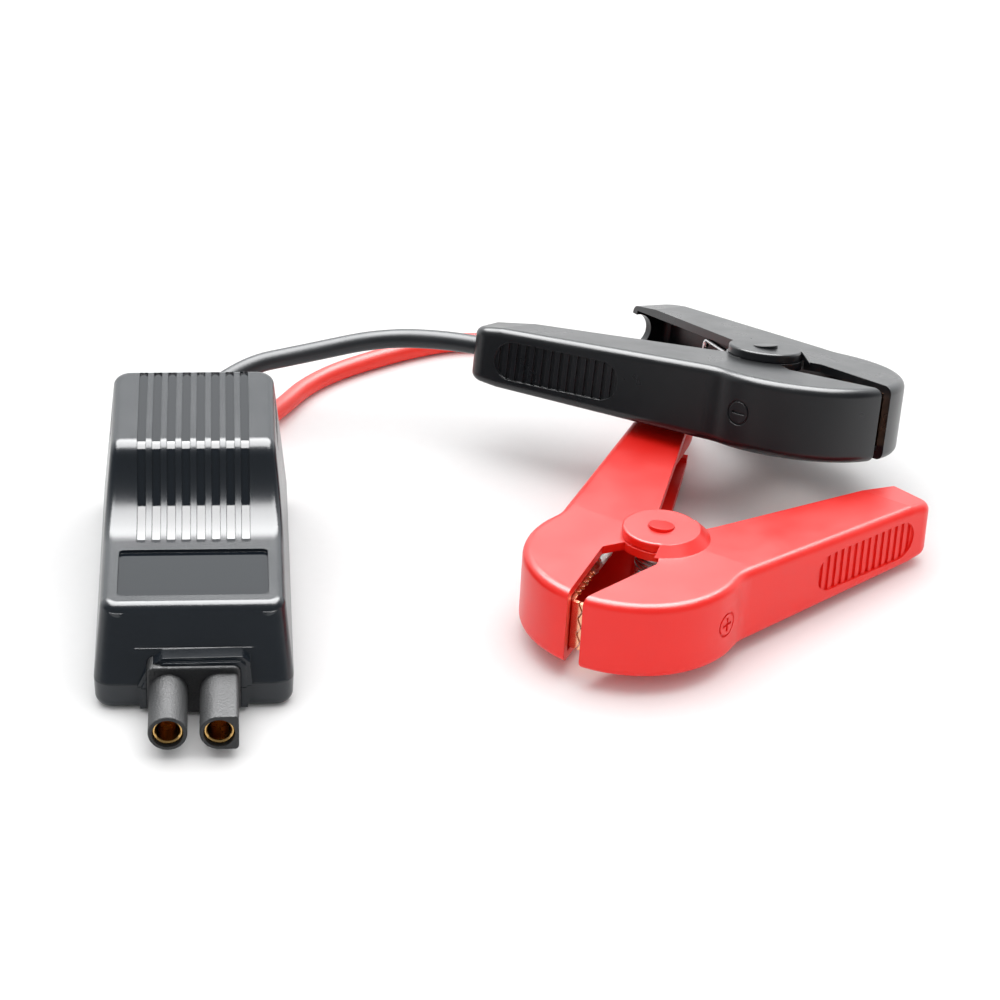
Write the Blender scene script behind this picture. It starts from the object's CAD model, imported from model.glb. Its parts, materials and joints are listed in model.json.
import bpy
import json
import math
from mathutils import Matrix, Vector


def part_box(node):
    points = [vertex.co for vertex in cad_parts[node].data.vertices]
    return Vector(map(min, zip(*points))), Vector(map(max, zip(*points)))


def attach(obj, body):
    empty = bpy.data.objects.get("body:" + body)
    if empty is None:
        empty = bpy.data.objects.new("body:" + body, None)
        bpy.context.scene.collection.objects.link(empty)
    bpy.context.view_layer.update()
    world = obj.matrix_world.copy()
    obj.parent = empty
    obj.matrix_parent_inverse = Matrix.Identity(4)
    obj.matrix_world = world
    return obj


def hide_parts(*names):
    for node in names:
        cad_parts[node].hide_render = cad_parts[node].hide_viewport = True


# Looks of a jumper-clamp set: control box with a two-barrel plug, two cords, two spring clamps.
# Metres, in the CAD model's frame.

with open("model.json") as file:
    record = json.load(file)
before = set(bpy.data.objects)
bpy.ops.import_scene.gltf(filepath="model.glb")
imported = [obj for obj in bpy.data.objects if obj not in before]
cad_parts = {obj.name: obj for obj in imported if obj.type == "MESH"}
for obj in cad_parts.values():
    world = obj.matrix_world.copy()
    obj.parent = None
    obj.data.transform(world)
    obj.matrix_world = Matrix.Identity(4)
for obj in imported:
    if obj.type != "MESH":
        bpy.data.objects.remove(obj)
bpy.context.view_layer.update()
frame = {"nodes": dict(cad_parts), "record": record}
nodes = frame["nodes"]
scene = bpy.context.scene

# Where the box's front bottom edge stands, and the features of its cover from there
BOX_ORIGIN = Vector((-0.07433, -0.07411, 0))
CHANNEL_PITCH = 0.0033
CHANNEL_HALF_WIDTH = 0.00095
CHANNEL_FIELD_HALF_WIDTH = 0.0132
CHANNEL_START_Y = 0.0322
LABEL_SPAN = (0.0102, 0.0292)
LABEL_HALF_WIDTH = 0.01625
LABEL_BELOW_Z = 0.0222
POLISHED_ROUGHNESS = 0.05

CORD_DIAMETER = 0.0047


# ---------------------------------------------------------------- camera


def place_camera():
    """Looks down on the set from in front, turned a little to the right and tilted slightly."""
    azimuth = math.radians(5.34)
    elevation = math.radians(30.05)
    roll = math.radians(-2.09)
    ahead = Vector((math.sin(azimuth) * math.cos(elevation),
                    math.cos(azimuth) * math.cos(elevation),
                    -math.sin(elevation)))
    level = Vector((math.cos(azimuth), -math.sin(azimuth), 0))
    upward = level.cross(ahead)
    right = math.cos(roll) * level - math.sin(roll) * upward
    up = math.sin(roll) * level + math.cos(roll) * upward
    data = bpy.data.cameras.new("camera")
    data.sensor_width = 36
    data.lens = 118.22
    data.clip_start = 0.01
    camera = bpy.data.objects.new("camera", data)
    scene.collection.objects.link(camera)
    turned = Matrix((right, up, -ahead)).transposed().to_4x4()
    standpoint = Matrix.Translation((-0.06523, -0.66571, 0.3951))
    camera.matrix_world = standpoint @ turned
    scene.camera = camera


# ---------------------------------------------------------------- cords

NEGATIVE_ROUTE = [
    (-0.08333, 0.01189, 0.0065), (-0.08333, 0.03639, 0.0065), (-0.06433, 0.04989, 0.0178),
    (-0.04733, 0.05539, 0.0186), (-0.02833, 0.05689, 0.0222), (-0.01061, 0.05334, 0.02303),
    (0.00734, 0.04296, 0.02398), (0.02424, 0.03158, 0.02532), (0.03757, 0.02365, 0.02609),
    (0.04949, 0.01576, 0.02699),
]
POSITIVE_ROUTE = [
    (-0.06533, 0.01189, 0.0065), (-0.06533, 0.03389, 0.0065), (-0.05483, 0.05439, 0.0025),
    (-0.04483, 0.07239, 0.0024), (-0.02433, 0.08609, 0.0024), (-0.00633, 0.09339, 0.0024),
    (0.00967, 0.08989, 0.0024), (0.02267, 0.07839, 0.0024), (0.03667, 0.06239, 0.0024),
    (0.04705, 0.03721, 0.00759), (0.03924, 0.018, 0.00871), (0.03024, -0.0003, 0.00981),
    (0.02422, -0.01458, 0.01064), (0.01802, -0.02747, 0.01141),
]


def mesh_of(guide):
    """Mesh of a curve as it stands."""
    bpy.context.view_layer.update()
    return bpy.data.meshes.new_from_object(guide.evaluated_get(bpy.context.evaluated_depsgraph_get()))


def add_cord(name, node, route):
    """Shows a cord as a round tube along a smooth spline, in place of its CAD tube."""
    curve = bpy.data.curves.new(name, "CURVE")
    curve.dimensions = "3D"
    curve.resolution_u = 24
    curve.use_fill_caps = True
    spline = curve.splines.new("NURBS")
    spline.points.add(len(route) - 1)
    for point, position in zip(spline.points, route):
        point.co = (*position, 1)
    spline.order_u = 3
    spline.use_endpoint_u = True
    guide = bpy.data.objects.new(name + "_guide", curve)
    scene.collection.objects.link(guide)
    path = [vertex.co.copy() for vertex in mesh_of(guide).vertices]
    curve.bevel_depth = CORD_DIAMETER / 2
    curve.bevel_resolution = 10
    tube = mesh_of(guide)
    tube.shade_smooth()
    bpy.data.objects.remove(guide)
    piece = bpy.data.objects.new(name, tube)
    scene.collection.objects.link(piece)
    boot = Vector(route[0])
    boot.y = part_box(node + "_boot")[1].y
    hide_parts(node)
    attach(piece, "control_set")
    return piece


place_camera()
negative_cord = add_cord("negative_cord_curve", "negative_cord", NEGATIVE_ROUTE)
positive_cord = add_cord("positive_cord_curve", "positive_cord", POSITIVE_ROUTE)


# ---------------------------------------------------------------- materials


def math_node(tree, operation, first, second=0.0):
    """Output of a math node fed by numbers or by other nodes' outputs."""
    node = tree.nodes.new("ShaderNodeMath")
    node.operation = operation
    for socket, value in zip(node.inputs, (first, second)):
        if isinstance(value, bpy.types.NodeSocket):
            tree.links.new(value, socket)
        else:
            socket.default_value = value
    return node.outputs[0]


def between(tree, value, low, high):
    """1 where a value lies between low and high, else 0."""
    above = math_node(tree, "GREATER_THAN", value, low)
    below = math_node(tree, "LESS_THAN", value, high)
    return math_node(tree, "MULTIPLY", above, below)


def place(tree):
    """The surface's own coordinates, which stay on it as it moves."""
    return tree.nodes.new("ShaderNodeTexCoord").outputs["Object"]


def noise(tree, vector, scale, detail=3.0):
    node = tree.nodes.new("ShaderNodeTexNoise")
    node.inputs["Scale"].default_value = scale
    node.inputs["Detail"].default_value = detail
    tree.links.new(vector, node.inputs["Vector"])
    return node.outputs["Fac"]


def ramp(tree, value, start, end):
    """Stretches a noise's middle range to the range from start to end."""
    node = tree.nodes.new("ShaderNodeMapRange")
    node.inputs["From Min"].default_value = 0.3
    node.inputs["From Max"].default_value = 0.7
    node.inputs["To Min"].default_value = start
    node.inputs["To Max"].default_value = end
    tree.links.new(value, node.inputs["Value"])
    return node.outputs["Result"]


def blended(tree, factor, first, second):
    """Colour mixed from first to second by factor."""
    node = tree.nodes.new("ShaderNodeMix")
    node.data_type = "RGBA"
    tree.links.new(factor, node.inputs["Factor"])
    node.inputs["A"].default_value = (*first, 1)
    node.inputs["B"].default_value = (*second, 1)
    return node.outputs["Result"]


def bumped(tree, heights, edge):
    """Normal of softened edges with one bump for each (height, distance)."""
    bevel = tree.nodes.new("ShaderNodeBevel")
    bevel.samples = 4
    bevel.inputs["Radius"].default_value = edge
    normal = bevel.outputs["Normal"]
    for height, distance in heights:
        node = tree.nodes.new("ShaderNodeBump")
        node.inputs["Distance"].default_value = distance
        tree.links.new(height, node.inputs["Height"])
        tree.links.new(normal, node.inputs["Normal"])
        normal = node.outputs["Normal"]
    return normal


def new_material(name, metallic=0.0):
    material = bpy.data.materials.new(name)
    material.use_nodes = True
    shader = material.node_tree.nodes["Principled BSDF"]
    shader.inputs["Metallic"].default_value = metallic
    return material, material.node_tree, shader


def moulded(name, dark, light, roughness, grain, depth, edge=0.0002):
    """Moulded plastic or rubber: faint flow mottling, fine grain and uneven gloss."""
    material, tree, shader = new_material(name)
    here = place(tree)
    flow = noise(tree, here, 90)
    skin = noise(tree, here, grain, 2)
    tree.links.new(blended(tree, flow, dark, light), shader.inputs["Base Color"])
    tree.links.new(ramp(tree, flow, roughness * 0.88, roughness * 1.12), shader.inputs["Roughness"])
    tree.links.new(bumped(tree, [(skin, depth)], edge), shader.inputs["Normal"])
    return material


def metal(name, dark, light, roughness, stretch, edge=0.0001):
    """Drawn or rolled metal: fine lines along one way, tarnish in soft patches."""
    material, tree, shader = new_material(name, metallic=1.0)
    here = place(tree)
    stretched = tree.nodes.new("ShaderNodeMapping")
    stretched.inputs["Scale"].default_value = stretch
    tree.links.new(here, stretched.inputs["Vector"])
    lines = noise(tree, stretched.outputs["Vector"], 900, 4)
    patches = noise(tree, here, 260)
    tree.links.new(blended(tree, patches, dark, light), shader.inputs["Base Color"])
    tree.links.new(ramp(tree, patches, roughness * 1.35, roughness * 0.75), shader.inputs["Roughness"])
    tree.links.new(bumped(tree, [(lines, 0.00001)], edge), shader.inputs["Normal"])
    return material


def glossy_case():
    """Black ABS, satin all over, polished on the channel floors and in the label recess."""
    material, tree, shader = new_material("glossy_case")
    here = place(tree)
    split = tree.nodes.new("ShaderNodeSeparateXYZ")
    tree.links.new(here, split.inputs[0])
    across = math_node(tree, "SUBTRACT", split.outputs["X"], BOX_ORIGIN.x)
    along = math_node(tree, "SUBTRACT", split.outputs["Y"], BOX_ORIGIN.y)
    height = split.outputs["Z"]
    shifted = math_node(tree, "ADD", across, CHANNEL_PITCH / 2)
    from_middle = math_node(tree, "PINGPONG", shifted, CHANNEL_PITCH / 2)
    channels = math_node(tree, "LESS_THAN", from_middle, CHANNEL_HALF_WIDTH * 0.97)
    field = between(tree, across, -CHANNEL_FIELD_HALF_WIDTH, CHANNEL_FIELD_HALF_WIDTH)
    roof = math_node(tree, "MULTIPLY", math_node(tree, "GREATER_THAN", along, CHANNEL_START_Y),
                     math_node(tree, "GREATER_THAN", height, LABEL_BELOW_Z - 0.0008))
    floors = math_node(tree, "MULTIPLY", math_node(tree, "MULTIPLY", channels, field), roof)
    label = math_node(tree, "MULTIPLY", between(tree, across, -LABEL_HALF_WIDTH, LABEL_HALF_WIDTH),
                      between(tree, along, *LABEL_SPAN))
    label = math_node(tree, "MULTIPLY", label, between(tree, height, LABEL_BELOW_Z - 0.0006, LABEL_BELOW_Z))
    polished = math_node(tree, "MAXIMUM", floors, label)
    satin = ramp(tree, noise(tree, here, 70), 0.23, 0.27)
    rough = tree.nodes.new("ShaderNodeMix")
    tree.links.new(polished, rough.inputs["Factor"])
    tree.links.new(satin, rough.inputs["A"])
    rough.inputs["B"].default_value = POLISHED_ROUGHNESS
    tree.links.new(rough.outputs["Result"], shader.inputs["Roughness"])
    tint = blended(tree, noise(tree, here, 60), (0.006, 0.009, 0.013), (0.009, 0.013, 0.018))
    tree.links.new(tint, shader.inputs["Base Color"])
    unpolished = math_node(tree, "SUBTRACT", 1.0, polished)
    grain = math_node(tree, "MULTIPLY", noise(tree, here, 2600, 2), unpolished)
    tree.links.new(bumped(tree, [(grain, 0.000003)], 0.00025), shader.inputs["Normal"])
    return material


def circuit_laminate():
    """Green solder mask over copper tracks."""
    material, tree, shader = new_material("circuit_laminate")
    here = place(tree)
    tracks = tree.nodes.new("ShaderNodeTexBrick")
    tracks.inputs["Scale"].default_value = 260
    tracks.inputs["Color1"].default_value = (0.01, 0.11, 0.05, 1)
    tracks.inputs["Color2"].default_value = (0.012, 0.15, 0.06, 1)
    tracks.inputs["Mortar"].default_value = (0.02, 0.24, 0.09, 1)
    tree.links.new(here, tracks.inputs["Vector"])
    tree.links.new(tracks.outputs["Color"], shader.inputs["Base Color"])
    tree.links.new(ramp(tree, noise(tree, here, 300), 0.28, 0.4), shader.inputs["Roughness"])
    tree.links.new(bumped(tree, [(tracks.outputs["Fac"], 0.00003)], 0.0001), shader.inputs["Normal"])
    return material


FINISHES = {
    "gloss_black": glossy_case(),
    "satin_black": moulded("textured_barrels", (0.008, 0.009, 0.010), (0.018, 0.019, 0.021), 0.55, 2200,
                           0.00016),
    "brass": metal("turned_brass", (0.55, 0.32, 0.10), (0.78, 0.5, 0.19), 0.22, (1, 9, 1)),
    "copper": metal("rolled_copper", (0.78, 0.36, 0.2), (0.93, 0.55, 0.36), 0.2, (1, 1, 7)),
    "board_green": circuit_laminate(),
    "relay_blue": moulded("relay_case", (0.02, 0.06, 0.2), (0.03, 0.08, 0.26), 0.4, 2400, 0.00003),
    "chip_black": moulded("chip_case", (0.018, 0.018, 0.018), (0.03, 0.03, 0.03), 0.5, 5200, 0.00004),
    "can_aluminium": metal("sleeved_can", (0.6, 0.61, 0.63), (0.78, 0.79, 0.8), 0.28, (6, 6, 1)),
    "tin": metal("tinned_copper", (0.6, 0.59, 0.56), (0.78, 0.77, 0.74), 0.3, (4, 4, 1)),
    "boot_rubber": moulded("boot_rubber", (0.009, 0.010, 0.012), (0.015, 0.016, 0.019), 0.45, 3000, 0.00001),
    "cord_black": moulded("black_silicone", (0.007, 0.009, 0.012), (0.011, 0.014, 0.018), 0.42, 2200,
                          0.00001),
    "cord_red": moulded("red_silicone", (0.78, 0.02, 0.009), (0.9, 0.03, 0.014), 0.42, 2200, 0.00001),
    "nylon_black": moulded("black_nylon", (0.003, 0.0035, 0.005), (0.006, 0.007, 0.009), 0.3, 2800, 0.000006),
    "nylon_red": moulded("red_nylon", (0.78, 0.007, 0.003), (0.86, 0.011, 0.004), 0.34, 2800, 0.000006),
    "zinc_steel": metal("zinc_plate", (0.55, 0.55, 0.54), (0.72, 0.72, 0.7), 0.3, (1, 1, 5)),
    "spring_steel": metal("spring_wire", (0.5, 0.5, 0.51), (0.7, 0.7, 0.71), 0.22, (1, 1, 8)),
}


def paint(piece, finish):
    """Gives a piece one finish all over."""
    if len(piece.data.materials) == 0:
        piece.data.materials.append(FINISHES[finish])
    for index in range(len(piece.data.materials)):
        piece.data.materials[index] = FINISHES[finish]


for subpart in frame["record"]["subparts"]:
    paint(nodes[subpart["node"]], subpart["material_slot"])
paint(negative_cord, "cord_black")
paint(positive_cord, "cord_red")


# ---------------------------------------------------------------- floor and light


def lay_floor():
    """Wide pale floor just under the set."""
    half = 6.0
    level = -0.0001
    mesh = bpy.data.meshes.new("floor")
    corners = [(-half, -half, level), (half, -half, level), (half, half, level), (-half, half, level)]
    mesh.from_pydata(corners, [], [(0, 1, 2, 3)])
    floor = bpy.data.objects.new("floor", mesh)
    scene.collection.objects.link(floor)
    material, tree, shader = new_material("floor_paper")
    shader.inputs["Roughness"].default_value = 0.9
    shader.inputs["Specular IOR Level"].default_value = 0.1
    fibres = noise(tree, place(tree), 400)
    tree.links.new(blended(tree, fibres, (0.88, 0.88, 0.88), (0.9, 0.9, 0.9)), shader.inputs["Base Color"])
    mesh.materials.append(material)


def softbox(name, radiance, width, depth, distance, tilt, for_gloss):
    """Rectangular light aimed at the set, tilted back from overhead, for surfaces or for their gloss."""
    data = bpy.data.lights.new(name, "AREA")
    data.shape = "RECTANGLE"
    data.size = width
    data.size_y = depth
    data.energy = radiance * math.pi * width * depth
    lamp = bpy.data.objects.new(name, data)
    scene.collection.objects.link(lamp)
    angle = math.radians(tilt)
    lamp.location = (0, distance * math.sin(angle), distance * math.cos(angle))
    lamp.rotation_euler = (-angle, 0, 0)
    lamp.visible_diffuse = not for_gloss
    lamp.visible_glossy = for_gloss


def light_studio():
    """Even light for surfaces; in their gloss, a bright sweep behind, a dim camera side; white backdrop."""
    world = bpy.data.worlds.new("studio")
    scene.world = world
    world.use_nodes = True
    tree = world.node_tree
    even = tree.nodes["Background"]
    even.inputs["Color"].default_value = (1, 1, 1, 1)
    even.inputs["Strength"].default_value = 0.8
    split = tree.nodes.new("ShaderNodeSeparateXYZ")
    tree.links.new(tree.nodes.new("ShaderNodeTexCoord").outputs["Generated"], split.inputs[0])
    sweep = tree.nodes.new("ShaderNodeMapRange")
    sweep.interpolation_type = "SMOOTHSTEP"
    sweep.inputs["From Min"].default_value = -0.1
    sweep.inputs["From Max"].default_value = 0.6
    sweep.inputs["To Min"].default_value = 0.25
    sweep.inputs["To Max"].default_value = 1.7
    tree.links.new(split.outputs["Y"], sweep.inputs["Value"])
    glossy = tree.nodes.new("ShaderNodeBackground")
    glossy.inputs["Color"].default_value = (0.95, 0.98, 1, 1)
    tree.links.new(sweep.outputs["Result"], glossy.inputs["Strength"])
    white = tree.nodes.new("ShaderNodeBackground")
    white.inputs["Color"].default_value = (1, 1, 1, 1)
    ray = tree.nodes.new("ShaderNodeLightPath")
    surfaces = tree.nodes.new("ShaderNodeMixShader")
    tree.links.new(ray.outputs["Is Glossy Ray"], surfaces.inputs["Fac"])
    tree.links.new(even.outputs[0], surfaces.inputs[1])
    tree.links.new(glossy.outputs[0], surfaces.inputs[2])
    seen = tree.nodes.new("ShaderNodeMixShader")
    tree.links.new(ray.outputs["Is Camera Ray"], seen.inputs["Fac"])
    tree.links.new(surfaces.outputs[0], seen.inputs[1])
    tree.links.new(white.outputs[0], seen.inputs[2])
    tree.links.new(seen.outputs[0], tree.nodes["World Output"].inputs["Surface"])
    softbox("key", radiance=1.8, width=4.0, depth=3.2, distance=3.0, tilt=8, for_gloss=False)
    softbox("overhead", radiance=17, width=1.6, depth=1.25, distance=1.2, tilt=20, for_gloss=True)


lay_floor()
light_studio()
scene.view_settings.view_transform = "Standard"
scene.view_settings.look = "None"
